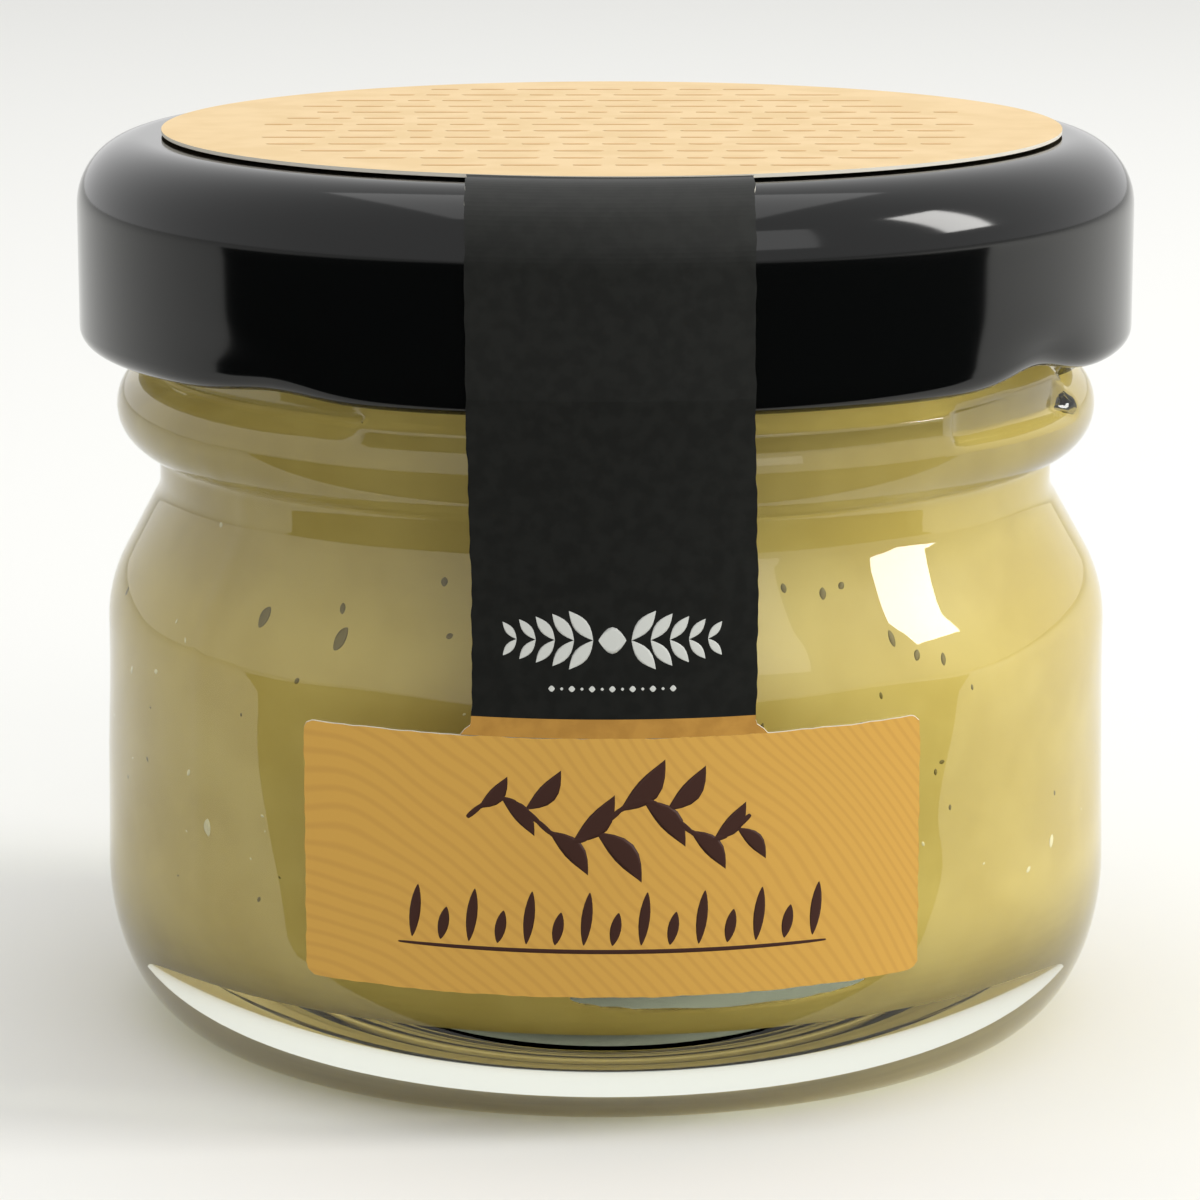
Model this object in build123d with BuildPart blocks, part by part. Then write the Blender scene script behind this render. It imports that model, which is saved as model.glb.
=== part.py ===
"""A small glass jar of mustard, closed by a four-lug sheet-metal twist cap, with one paper seal label.

Frame: millimetres, +Z up, origin at the centre of the ring that the jar stands on. The label's front
faces -Y, and +X is to the right of someone who reads it.
"""

import os
from math import atan2, cos, radians, sin, tan

from build123d import *

# ---- Driving dimensions: glass jar, from the base up ----
HEEL_HEIGHT = 6.8
HEEL_WIDTH = 4.0  # how far the heel's curve draws in
BODY_HEIGHT = 12.35  # from the heel to the line where the shoulder starts
BODY_DRAW = 0.19  # the body draws in a little towards the shoulder
SHOULDER_RISE = 4.24
SHOULDER_WIDTH = 2.35  # from the body in to the groove
SHOULDER_BEND = 6.6
GROOVE_HEIGHT = 1.71  # from the shoulder's end to the bead
GROOVE_DEPTH = 0.4
GROOVE_BEND = 1.5
BEAD_HALF = 1.9  # half of the bead's height
BEAD_REACH = 1.4  # how far the bead stands out of the finish
FINISH_RADIUS = 19.9  # the neck inside the cap
RIM_ROUND = 1.0
PUSH_UP = 0.8  # the hollow under the base
BEARING_WIDTH = 2.5  # the flat ring that the jar stands on

# ---- Driving dimensions: inside of the glass ----
BODY_WALL = 4.1
NECK_WALL = 3.7
BASE_THICKNESS = 3.7
FLOOR_BEND = 4.0  # the rounded inside corner over the heel
INSIDE_BEND = 5.0

# ---- Driving dimensions: threads, ridges and pockets of the finish ----
THREAD_COUNT = 4
THREAD_REACH = 1.2
THREAD_HEIGHT = 1.3
THREAD_SLANT = 0.3
THREAD_ARC = 60.0  # degrees
RIDGE_LIFT = 0.9  # the ridge starts this far over the middle of the bead
RIDGE_ARC = 70.0  # degrees, to the left of the pocket
POCKET_COUNT = 2
POCKET_START = 42.3  # degrees round from the front, to the right
POCKET_ARC = 26.0
POCKET_LIFT = 0.6  # the pocket starts this far over the middle of the bead
POCKET_HEIGHT = 1.4
POCKET_DEPTH = 0.7

# ---- Driving dimensions: cap ----
CAP_HEIGHT = 8.88  # from the curl's lowest point to the top of the rim ring
CAP_SHOULDER = 2.9
CAP_SHEET = 0.25
CURL_RADIUS = 0.8
RING_WIDTH = 1.0  # the flat ring between the cap's shoulder and its panel
PANEL_RISE = 0.1  # the middle of the cap stands a little over its ring
PANEL_STEP = 0.5
FIRST_LUG = 53.0  # degrees round from the front, to the right
LUG_ARC = 15.0
LUG_HEIGHT = 0.9
LUG_LIFT = 0.25  # the edge is pressed up where a lug is

# ---- Driving dimensions: label ----
PAPER = 0.15
DISC_MARGIN = 0.5  # from the disc's edge to the cap's shoulder
LABEL_SHIFT = 0.27  # the label sits a little to the right
STRIP_WIDTH = 11.3
FRONT_WIDTH = 24.9  # across the front panel, as seen from straight ahead
FRONT_HEIGHT = 10.65
FRONT_TILT = 0.4  # degrees, right-hand side up
FRONT_CORNER = 0.45

# ---- Clearances ----
RIM_GAP = 0.05  # between the glass rim and the cap
FREEBOARD = 3.0  # from the mustard's surface to the rim
FILL_GAP = 0.02  # between the mustard and the glass
GLUE = 0.02  # between the label and what it is stuck to
CAP_LIFT = 0.82  # from the bead up to the cap
RIDGE_GAP = 0.1  # between a ridge and the cap over it
CURL_GAP = 0.1  # between the threads and the cap's curl
LUG_GAP = 0.2  # between a lug and the thread over it
LUG_TIP_GAP = 0.45  # from a lug's tip to the glass
SHOULDER_GAP = 0.45  # from the label up to where the body starts to bend

# ---- Glass: radii and heights that follow ----
groove_radius = FINISH_RADIUS - GROOVE_DEPTH
body_top_radius = groove_radius + SHOULDER_WIDTH
heel_radius = body_top_radius + BODY_DRAW
bearing_outer = heel_radius - HEEL_WIDTH
bearing_inner = bearing_outer - BEARING_WIDTH
body_inside = heel_radius - BODY_WALL
neck_inside = FINISH_RADIUS - NECK_WALL
thread_radius = FINISH_RADIUS + THREAD_REACH
shoulder_height = HEEL_HEIGHT + BODY_HEIGHT
shoulder_turn = atan2(SHOULDER_WIDTH, SHOULDER_RISE)
groove_bottom = shoulder_height + SHOULDER_RISE
bead_bottom = groove_bottom + GROOVE_HEIGHT
bead_height = bead_bottom + BEAD_HALF
bead_top = bead_height + BEAD_HALF
shoulder_inside = shoulder_height - BODY_WALL * tan(shoulder_turn / 2)
groove_inside = shoulder_inside + (body_inside - neck_inside) / tan(shoulder_turn)
ridge_bottom = bead_height + RIDGE_LIFT

# ---- Cap: radii and heights that follow ----
cap_bottom = bead_top + CAP_LIFT
cap_top = cap_bottom + CAP_HEIGHT
rim_height = cap_top - CAP_SHEET - RIM_GAP
cap_radius = thread_radius + CURL_GAP + 2 * CURL_RADIUS
cap_inside = cap_radius - CAP_SHEET
curl_middle = cap_radius - CURL_RADIUS
curl_height = cap_bottom + CURL_RADIUS
ring_outer = cap_radius - CAP_SHOULDER
ring_inner = ring_outer - RING_WIDTH
ring_height = cap_top - CAP_SHOULDER
panel_radius = ring_inner - PANEL_STEP
panel_height = cap_top + PANEL_RISE
lug_bottom = cap_bottom + LUG_LIFT
lug_tip = FINISH_RADIUS + LUG_TIP_GAP
thread_bottom = lug_bottom + LUG_HEIGHT + LUG_GAP
ridge_top = cap_bottom - RIDGE_GAP

# ---- Label: radii and heights that follow ----
front_top = shoulder_height - SHOULDER_BEND * tan(shoulder_turn / 2) - SHOULDER_GAP
front_middle = front_top - FRONT_HEIGHT / 2
front_radius = heel_radius - BODY_DRAW * (front_top - HEEL_HEIGHT) / BODY_HEIGHT


def facing(turn):
    """The upright plane whose right-hand half points TURN degrees to the right of the front."""
    across = sin(radians(turn))
    ahead = cos(radians(turn))
    return Plane(origin=(0, 0, 0), x_dir=(across, -ahead, 0), z_dir=(-ahead, -across, 0))


def inside_outline(gap, top):
    """Half the outline of the jar's inside, drawn in by GAP and closed at the height TOP."""
    wall = FilletPolyline(
        (0, BASE_THICKNESS + gap),
        (body_inside - gap, BASE_THICKNESS + gap),
        (body_inside - gap, shoulder_inside),
        (neck_inside - gap, groove_inside),
        (neck_inside - gap, top),
        radius=[FLOOR_BEND, INSIDE_BEND, INSIDE_BEND],
    )
    Polyline(wall @ 1, (0, top), wall @ 0)


# ---- Glass jar ----
with BuildPart() as glass_jar:
    # Base hollow, bearing ring, heel, body, shoulder, groove, bead and the finish inside the cap.
    with BuildSketch(Plane.XZ):
        with BuildLine():
            hollow = TangentArc((0, PUSH_UP), (bearing_inner, 0), tangent=(1, 0))
            Line(hollow @ 1, (bearing_outer, 0))
            EllipticalCenterArc((bearing_outer, HEEL_HEIGHT), HEEL_WIDTH, HEEL_HEIGHT, 270, arc_size=90)
            body = FilletPolyline(
                (heel_radius, HEEL_HEIGHT),
                (body_top_radius, shoulder_height),
                (groove_radius, groove_bottom),
                (groove_radius, bead_bottom),
                radius=[SHOULDER_BEND, GROOVE_BEND],
            )
            bead = ThreePointArc(
                body @ 1,
                (FINISH_RADIUS + BEAD_REACH, bead_height),
                (groove_radius, bead_top),
            )
            Polyline(
                bead @ 1,
                (FINISH_RADIUS, bead_top),
                (FINISH_RADIUS, rim_height),
                (0, rim_height),
                (0, PUSH_UP),
            )
        make_face()
    revolve(axis=Axis.Z)
    # The low ends of two threads run out as a ridge on the bead, each over a shallow pocket.
    for number in range(POCKET_COUNT):
        pocket_start = POCKET_START + number * 360 / POCKET_COUNT
        with BuildSketch(facing(pocket_start - RIDGE_ARC)):
            with BuildLine():
                Polyline(
                    (groove_radius, ridge_bottom),
                    (thread_radius, ridge_bottom),
                    (thread_radius, (ridge_bottom + ridge_top) / 2),
                    (FINISH_RADIUS, ridge_top),
                    (groove_radius, ridge_top),
                    close=True,
                )
            make_face()
        revolve(axis=Axis.Z, revolution_arc=RIDGE_ARC + POCKET_ARC)
        with BuildSketch(facing(pocket_start)):
            with Locations((thread_radius - POCKET_DEPTH, bead_height + POCKET_LIFT)):
                Rectangle(BEAD_REACH, POCKET_HEIGHT, align=(Align.MIN, Align.MIN))
        revolve(axis=Axis.Z, revolution_arc=POCKET_ARC, mode=Mode.SUBTRACT)
    # The threads that the lugs of the cap reach under.
    for number in range(THREAD_COUNT):
        with BuildSketch(facing(FIRST_LUG - LUG_ARC / 2 + number * 360 / THREAD_COUNT)):
            with BuildLine():
                Polyline(
                    (groove_radius, thread_bottom),
                    (thread_radius, thread_bottom + THREAD_SLANT),
                    (thread_radius, thread_bottom + THREAD_HEIGHT - THREAD_SLANT),
                    (groove_radius, thread_bottom + THREAD_HEIGHT),
                    close=True,
                )
            make_face()
        revolve(axis=Axis.Z, revolution_arc=THREAD_ARC)
    with BuildSketch(Plane.XZ):
        with BuildLine():
            inside_outline(0, rim_height)
        make_face()
    revolve(axis=Axis.Z, mode=Mode.SUBTRACT)
    fillet(glass_jar.edges().group_by(Axis.Z)[-1], radius=RIM_ROUND)
glass_jar.part.label = "glass_jar"

# ---- Mustard, up to its surface under the cap ----
with BuildPart() as mustard:
    with BuildSketch(Plane.XZ):
        with BuildLine():
            inside_outline(FILL_GAP, rim_height - FREEBOARD)
        make_face()
    revolve(axis=Axis.Z)
mustard.part.label = "mustard"

# ---- Cap: panel, ring, shoulder, skirt, curled edge and lugs ----
with BuildPart() as cap:
    with BuildSketch(Plane.XZ):
        with BuildLine():
            Polyline(
                (0, panel_height),
                (panel_radius, panel_height),
                (ring_inner, cap_top),
                (ring_outer, cap_top),
            )
            CenterArc((ring_outer, ring_height), CAP_SHOULDER, 0, 90)
            Line((cap_radius, ring_height), (cap_radius, curl_height))
            CenterArc((curl_middle, curl_height), CURL_RADIUS, 90, 270)
            Polyline(
                (curl_middle, curl_height + CURL_RADIUS),
                (cap_inside, curl_height + CURL_RADIUS),
                (cap_inside, ring_height),
            )
            CenterArc((ring_outer, ring_height), CAP_SHOULDER - CAP_SHEET, 0, 90)
            Polyline(
                (ring_outer, cap_top - CAP_SHEET),
                (ring_inner, cap_top - CAP_SHEET),
                (panel_radius, panel_height - CAP_SHEET),
                (0, panel_height - CAP_SHEET),
                (0, panel_height),
            )
        make_face()
    revolve(axis=Axis.Z)
    for number in range(THREAD_COUNT):
        lug_plane = facing(FIRST_LUG - LUG_ARC / 2 + number * 360 / THREAD_COUNT)
        with BuildSketch(lug_plane):
            with Locations((lug_tip, cap_bottom)):
                Rectangle(cap_radius, LUG_LIFT, align=(Align.MIN, Align.MIN))
        revolve(axis=Axis.Z, revolution_arc=LUG_ARC, mode=Mode.SUBTRACT)
        with BuildSketch(lug_plane):
            with Locations((lug_tip, lug_bottom)):
                Rectangle(curl_middle - lug_tip, LUG_HEIGHT, align=(Align.MIN, Align.MIN))
        revolve(axis=Axis.Z, revolution_arc=LUG_ARC)
cap.part.label = "cap"

# ---- Outline that the label is cut to: a disc on top, a strip down the front and a front panel ----
with BuildPart() as label_outline:
    with BuildSketch(Plane.XY.offset(cap_top)):
        with Locations((LABEL_SHIFT, 0)):
            Circle(ring_outer - DISC_MARGIN)
    extrude(amount=PANEL_RISE + GLUE + PAPER)
    with BuildSketch(Plane.XZ):
        with Locations((LABEL_SHIFT, front_middle)):
            Rectangle(STRIP_WIDTH, cap_top, align=(Align.CENTER, Align.MIN))
            RectangleRounded(FRONT_WIDTH, FRONT_HEIGHT, FRONT_CORNER, rotation=FRONT_TILT)
    extrude(amount=2 * cap_radius)

# ---- Seal label: one piece of paper from the top of the cap down to the front of the body ----
with BuildPart() as seal_label:
    with BuildSketch(Plane.XZ):
        with BuildLine():
            over = Polyline(
                (0, panel_height + GLUE),
                (ring_inner, panel_height + GLUE),
                (ring_outer, cap_top + GLUE),
            )
            bend = RadiusArc(over @ 1, (cap_radius + GLUE, ring_height), CAP_SHOULDER + GLUE)
            Polyline(
                bend @ 1,
                (cap_radius + GLUE, curl_height),
                (front_radius + GLUE, front_top),
                (heel_radius + GLUE, HEEL_HEIGHT),
                (heel_radius + GLUE, 0),
            )
            offset(amount=PAPER, side=Side.LEFT, kind=Kind.INTERSECTION)
        make_face()
    revolve(axis=Axis.Z)
    add(label_outline.part, mode=Mode.INTERSECT)
seal_label.part.label = "seal_label"

os.makedirs("parts", exist_ok=True)
export_step(glass_jar.part, "parts/glass_jar.step")
export_step(mustard.part, "parts/mustard.step")
export_step(cap.part, "parts/cap.step")
export_step(seal_label.part, "parts/seal_label.step")
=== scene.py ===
"""Looks of a small glass jar of mustard, laid out as a Blender add-on and run as a script.

Shapes are worked out in millimetres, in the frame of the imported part, and go into the meshes in metres.
The label's front faces -Y. Angles go round from the front to the right, in degrees.
"""

import bmesh
import bpy
import numpy as np
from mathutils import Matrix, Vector


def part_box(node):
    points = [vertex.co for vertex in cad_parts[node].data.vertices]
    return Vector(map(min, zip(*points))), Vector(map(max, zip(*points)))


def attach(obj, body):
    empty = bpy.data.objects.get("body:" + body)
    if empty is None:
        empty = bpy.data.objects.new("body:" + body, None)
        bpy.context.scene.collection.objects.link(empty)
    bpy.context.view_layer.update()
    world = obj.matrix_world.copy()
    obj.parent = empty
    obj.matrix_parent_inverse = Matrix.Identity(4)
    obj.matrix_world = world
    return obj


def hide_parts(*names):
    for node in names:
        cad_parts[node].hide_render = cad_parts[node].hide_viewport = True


bl_info = {
    "name": "Mustard jar",
    "version": (1, 0, 0),
    "blender": (4, 5, 0),
    "location": "3D View > Sidebar > Jar",
    "description": "Builds a small glass jar of mustard with a twist cap and a paper seal label",
    "category": "Add Mesh",
}

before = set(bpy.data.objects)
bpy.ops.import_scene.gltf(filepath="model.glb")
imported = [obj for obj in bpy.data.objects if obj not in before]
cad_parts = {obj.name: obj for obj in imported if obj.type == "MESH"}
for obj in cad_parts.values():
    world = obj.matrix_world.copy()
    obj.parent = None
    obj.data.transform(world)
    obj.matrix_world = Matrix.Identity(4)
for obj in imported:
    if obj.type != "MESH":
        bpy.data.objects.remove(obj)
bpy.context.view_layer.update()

MM = 0.001
BODY = "root"


def box_mm(node):
    """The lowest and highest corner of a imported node, in millimetres."""
    low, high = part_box(node)
    return np.array(low) / MM, np.array(high) / MM


_, glass_high = box_mm("glass_jar")
fill_low, fill_high = box_mm("mustard")
cap_low, cap_high = box_mm("cap")
label_low, label_high = box_mm("seal_label")

# ---- Glass, from the base up ----
HEEL_RADIUS = glass_high[0]
RIM_HEIGHT = glass_high[2]
HEEL_HEIGHT = 6.8
HEEL_WIDTH = 4.0
BODY_HEIGHT = 12.35
BODY_DRAW = 0.19  # the body draws in a little towards the shoulder
SHOULDER_RISE = 4.24
SHOULDER_WIDTH = 2.35
GROOVE_HEIGHT = 1.71
GROOVE_DEPTH = 0.4
BEAD_REACH = 1.4
THREAD_REACH = 1.2
NECK_WALL = 3.7
BODY_TOP_RADIUS = HEEL_RADIUS - BODY_DRAW
SHOULDER_HEIGHT = HEEL_HEIGHT + BODY_HEIGHT
GROOVE_RADIUS = BODY_TOP_RADIUS - SHOULDER_WIDTH
GROOVE_BOTTOM = SHOULDER_HEIGHT + SHOULDER_RISE
BEAD_BOTTOM = GROOVE_BOTTOM + GROOVE_HEIGHT
BEAD_HALF = 1.9
BEAD_HEIGHT = BEAD_BOTTOM + BEAD_HALF
BEAD_TOP = BEAD_HEIGHT + BEAD_HALF
FINISH_RADIUS = GROOVE_RADIUS + GROOVE_DEPTH
BEAD_RADIUS = FINISH_RADIUS + BEAD_REACH
PUSH_UP = 0.8  # the hollow under the base
BEARING_OUTER = HEEL_RADIUS - HEEL_WIDTH
BEARING_WIDTH = 2.5  # the flat ring that the jar stands on
BEARING_INNER = BEARING_OUTER - BEARING_WIDTH
SHOULDER_BEND = 6.6
GROOVE_BEND = 1.5
RIM_BEND = 1.0
RIDGE_RADIUS = FINISH_RADIUS + THREAD_REACH
RIDGE_LIFT = 0.9
RIDGE_BOTTOM = BEAD_HEIGHT + RIDGE_LIFT
RIDGE_FLAT = 0.85  # height of the ridge before it slopes back to the finish
RIDGE_FOOT = 0.3
RIDGE_SOFT = 2.0  # degrees over which a ridge rises
RIDGE_ARC = 70.0
POCKET_START = 42.3
POCKET_ARC = 26.0
POCKET_DEPTH = 0.7
POCKET_LIFT = 0.6
POCKET_HEIGHT = 1.4
POCKET_RISE = 0.5  # how far the pocket's upper edge climbs along it
POCKET_SOFT = 0.9  # degrees over which the pocket's ends fall in
POCKET_EDGE = 0.3
POCKET_RADIUS = RIDGE_RADIUS - POCKET_DEPTH
POCKET_BOTTOM = BEAD_HEIGHT + POCKET_LIFT
THREAD_BOTTOM = 31.2
THREAD_HEIGHT = 1.2
THREAD_ARC = 60.0
THREAD_SOFT = 3.0
THREAD_EDGE = 0.3
SEAM_TURN = -50.0
SEAM_REACH = 0.05
SEAM_WIDTH = 1.6
# Each slight wave of the pressed wall: its reach, how many times it goes round, and radians per millimetre.
WAVES = ((0.022, 7, 0.55), (0.014, 13, -0.9))
WAVE_DROP = 0.036  # the waves' full reach, taken off so that the wall never swells past its size

# ---- Inside of the glass, and the filling ----
WALL_GAP = 0.02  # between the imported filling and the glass
BODY_INSIDE = fill_high[0] + WALL_GAP
FLOOR_HEIGHT = fill_low[2] - WALL_GAP
FILL_TOP = fill_high[2]
NECK_INSIDE = FINISH_RADIUS - NECK_WALL
SHOULDER_INSIDE = 18.09
GROOVE_INSIDE = 21.23
FLOOR_BEND = 4.0
INSIDE_BEND = 5.0
WALL_SPLIT = 2.0  # past this from the neck's inside, the outline belongs to the outside
SIGHT_SLOPE = 0.137  # how steeply a ray from the camera falls inside the glass
FILL_OVERLAP = 0.05  # how far the filling reaches into the wall, so that no air shows between them

# ---- Cap ----
CAP_RADIUS = cap_high[0]
CAP_BOTTOM = cap_low[2]
PANEL_TOP = cap_high[2]
PANEL_RISE = 0.1  # the middle of the cap stands a little over its ring
CAP_TOP = PANEL_TOP - PANEL_RISE
CAP_SHEET = 0.25
CAP_BEND = 2.9
CURL_RADIUS = 0.8
RING_OUTER = CAP_RADIUS - CAP_BEND
RING_WIDTH = 1.0
PANEL_STEP = 0.5
RING_INNER = RING_OUTER - RING_WIDTH
PANEL_RADIUS = RING_INNER - PANEL_STEP
LUG_COUNT = 4
FIRST_LUG = 53.0
LUG_ARC = 15.0
LUG_REACH = 0.85
PANEL_BENDS = (1.0, 0.8)
LUG_SOFT = 2.0  # degrees over which a lug's ends rise
PRESS_WIDTH = 7.5  # degrees from the middle of a pressed place to where it has mostly faded

# ---- Label ----
LABEL_TOP = label_high[2]
PANEL_LOW = label_low[2]
LABEL_SHIFT = 0.27
DISC_RADIUS = label_high[0] - LABEL_SHIFT
FRONT_HEIGHT = 10.6
FRONT_CORNER = 0.45
BAND_TOP = 17.8  # where the strip's black print ends
PAPER = 0.15
GLUE = 0.02
FRONT_TILT = 0.2  # degrees, right-hand side up
CREASE_DROP = 1.6  # from the shoulder down to the strip's crease on the body
PRINT_LIFT = 0.004
INK_HEIGHT = 0.006
REFRACTION = 1.52  # of soda-lime glass


def linear(code):
    """A colour written as sRGB hex, as linear red, green and blue."""
    value = np.array([int(code[i : i + 2], 16) for i in (1, 3, 5)]) / 255
    curve = np.where(value <= 0.04045, value / 12.92, ((value + 0.055) / 1.055) ** 2.4)
    return tuple(float(v) for v in curve)


def rgba(colour):
    """A linear colour with full alpha, as a shader socket takes it."""
    return (*colour, 1.0)


# ---- Outlines: a profile is an array of (radius, height) in millimetres ----
def rounded(corners, bends, steps=14):
    """A polyline with its inner corners replaced by true arcs.

    Each arc is the rational quadratic curve between its two tangent points, whose middle weight is the
    sine of half the corner's angle.
    """
    corners = np.array(corners, float)
    share = np.linspace(0, 1, steps)[:, None]
    parts = [corners[:1]]
    for here, before, after, bend in zip(corners[1:-1], corners[:-2], corners[2:], bends):
        if bend == 0:
            parts.append(here[None])
            continue
        back = (before - here) / np.linalg.norm(before - here)
        ahead = (after - here) / np.linalg.norm(after - here)
        half = np.arccos(np.clip(back @ ahead, -1, 1)) / 2
        start = here + back * bend / np.tan(half)
        end = here + ahead * bend / np.tan(half)
        weights = (1 - share) ** 2, 2 * share * (1 - share) * np.sin(half), share**2
        parts.append((weights[0] * start + weights[1] * here + weights[2] * end) / sum(weights))
    parts.append(corners[-1:])
    return np.vstack(parts)


def arc(middle, reach, start, end, steps=20):
    """Part of an ellipse: middle plus reach times the cosine and sine of an angle from start to end."""
    angle = np.radians(np.linspace(start, end, steps))
    return np.stack([middle[0] + reach[0] * np.cos(angle), middle[1] + reach[1] * np.sin(angle)], 1)


def spaced(outline, step):
    """The outline with points added along its straight runs, so that none are further apart than step."""
    parts = []
    for here, there in zip(outline[:-1], outline[1:]):
        count = max(1, int(np.ceil(np.linalg.norm(there - here) / step)))
        parts.append(here + (there - here) * np.arange(count)[:, None] / count)
    parts.append(outline[-1:])
    return np.vstack(parts)


def without_repeats(outline):
    """The outline with each point that repeats the one before it left out."""
    gap = np.linalg.norm(np.diff(outline, axis=0), axis=1)
    return outline[np.concatenate([[True], gap > 1e-6])]


def ramp(value, start, end):
    """A smooth step from 0 at start to 1 at end."""
    share = np.clip((value - start) / (end - start), 0, 1)
    return share * share * (3 - 2 * share)


def around(turn, middle):
    """The angle from middle to turn, brought to between -180 and 180 degrees."""
    return (turn - middle + 180) % 360 - 180


def window(turn, start, end, soft):
    """1 between two angles, falling smoothly to 0 over soft degrees outside each of them."""
    off = np.abs(around(turn, (start + end) / 2)) - (end - start) / 2
    return 1 - ramp(off, 0, soft)


# ---- Meshes ----
MERGE_DISTANCE = 1e-8  # metres
GLASS_SIDES = 288
FILL_SIDES = 240
CAP_SIDES = 360
DISC_SIDES = 240


def add_to_scene(name, data):
    """A new object with that data, linked into the scene."""
    item = bpy.data.objects.new(name, data)
    bpy.context.scene.collection.objects.link(item)
    return item


def add_piece(name, points, faces, materials, slot, node=None, face_materials=None, smooth=True):
    """One mesh piece from an array of points in millimetres and its faces, each shell facing outward."""
    mesh = bpy.data.meshes.new(name)
    mesh.from_pydata((points * MM).tolist(), [], plain_lists(faces))
    if face_materials is not None:
        mesh.polygons.foreach_set("material_index", np.asarray(face_materials, np.int32))
    work = bmesh.new()
    work.from_mesh(mesh)
    bmesh.ops.remove_doubles(work, verts=work.verts, dist=MERGE_DISTANCE)
    bmesh.ops.recalc_face_normals(work, faces=work.faces)
    work.to_mesh(mesh)
    work.free()
    mesh.polygons.foreach_set("use_smooth", np.full(len(mesh.polygons), smooth))
    for material in materials:
        mesh.materials.append(material)
    piece = add_to_scene(name, mesh)
    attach(piece, BODY)
    if node is not None:
        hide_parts(node)
    return piece


def grid_faces(rows, columns, closed):
    """The quads of a grid numbered row by row; closed joins the last column to the first."""
    row, column = np.meshgrid(np.arange(rows - 1), np.arange(columns - (not closed)), indexing="ij")
    here = row * columns + column
    beside = row * columns + (column + 1) % columns
    return np.stack([here, beside, beside + columns, here + columns], -1).reshape(-1, 4)


def revolved(outline, sides, change=None, shift=0.0):
    """Points and faces of an outline carried round an upright axis, as a grid of its points by angles.

    A point lies at the sine of its angle times its radius across, and at the cosine times its radius to
    the front. change takes the angle, radius and height of every point and returns a new radius and
    height. shift moves the axis to the right. The outline starts and ends on the axis, where each end
    row is one point.
    """
    turn = np.arange(sides) * 360 / sides
    angle = np.repeat(turn[None], len(outline), 0)
    radius = np.repeat(outline[:, :1], sides, 1)
    height = np.repeat(outline[:, 1:], sides, 1)
    if change is not None:
        radius, height = change(angle, radius, height)
    across = shift + radius * np.sin(np.radians(angle))
    ahead = -radius * np.cos(np.radians(angle))
    points = np.stack([across, ahead, height], -1)
    rings = len(outline) - 2
    between = grid_faces(rings, sides, True)
    first_pole = rings * sides
    last_pole = first_pole + 1
    column = np.arange(sides)
    beside = (column + 1) % sides
    last_ring = (rings - 1) * sides
    start = np.stack([np.full(sides, first_pole), beside, column], 1)
    end = np.stack([np.full(sides, last_pole), last_ring + column, last_ring + beside], 1)
    flat = np.vstack([points[1:-1].reshape(-1, 3), points[0, :1], points[-1, :1]])
    return flat, between.tolist() + start.tolist() + end.tolist()


def sheet(place, across, along, thickness):
    """A closed sheet: place(across, along, lift) on a grid, at lift 0 and at thickness.

    Returns its points, its faces, how many faces each side has and how many its edge has. The faces of
    the upper side come first, then those of the underside and of the edge.
    """
    rows, columns = across.shape
    top = place(across, along, thickness).reshape(-1, 3)
    under = place(across, along, 0.0).reshape(-1, 3)
    faces = grid_faces(rows, columns, False)
    number = np.arange(rows * columns).reshape(rows, columns)
    border = np.concatenate([number[0, :-1], number[:-1, -1], number[-1, :0:-1], number[:0:-1, 0]])
    beside = np.roll(border, -1)
    shift = rows * columns
    edge = np.stack([beside, border, border + shift, beside + shift], 1)
    return np.vstack([top, under]), np.vstack([faces, faces[:, ::-1] + shift, edge]), len(faces), len(edge)


def strokes(starts, ends, widths, height, place, power, bow=0.0, steps=11, sides=8):
    """Points and faces of many closed strokes laid on a surface.

    Each runs straight, or bowed sideways by a parabola, from its start to its end. Its section is an
    ellipse, as wide as a power of the sine of the share along it and as high as height allows, so both ends
    close to a point. A power of 1 makes a leaf, 0.5 a dot and 0.2 a bar.
    """
    starts, ends = np.array(starts, float), np.array(ends, float)
    widths = np.broadcast_to(np.array(widths, float), (len(starts),))[:, None, None]
    bow = np.broadcast_to(np.array(bow, float), (len(starts),))[:, None, None]
    share = (1 - np.cos(np.linspace(0, np.pi, steps))) / 2
    run = (ends - starts)[:, None, :]
    side = np.stack([-run[..., 1], run[..., 0]], -1) / np.linalg.norm(run, axis=-1, keepdims=True)
    middle = starts[:, None, :] + run * share[None, :, None]
    middle = middle + side * bow * (4 * share * (1 - share))[None, :, None]
    swell = np.sin(np.pi * share) ** power
    swell[[0, -1]] = 0.0
    angle = 2 * np.pi * np.arange(sides) / sides
    off = widths * swell[None, :, None] * np.cos(angle)[None, None, :]
    flat = middle[:, :, None, :] + side[:, :, None, :] * off[..., None]
    lift = height * swell[None, :, None] * np.sin(angle)[None, None, :] + np.zeros_like(off)
    points = place(flat[..., 0], flat[..., 1], lift)
    one = grid_faces(steps, sides, True)
    offset = (np.arange(len(starts)) * steps * sides)[:, None, None]
    return points.reshape(-1, 3), (one[None] + offset).reshape(-1, 4)


def plain_lists(faces):
    """Faces as plain lists, whether they come as an array or as lists of different lengths."""
    return faces if isinstance(faces, list) else faces.tolist()


def joined(*parts):
    """Several pairs of points and faces as one pair."""
    shift = 0
    points, faces = [], []
    for some_points, some_faces in parts:
        points.append(some_points)
        faces.extend([shift + number for number in face] for face in plain_lists(some_faces))
        shift += len(some_points)
    return np.vstack(points), faces


# ---- Materials ----
def add_node(tree, kind, values=None, links=None, **settings):
    """Adds a node with its settings, socket values and links from other nodes' sockets."""
    node = tree.nodes.new(kind)
    for name, value in settings.items():
        setattr(node, name, value)
    for socket, value in (values or {}).items():
        node.inputs[socket].default_value = value
    for socket, source in (links or {}).items():
        tree.links.new(source, node.inputs[socket])
    return node


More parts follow.
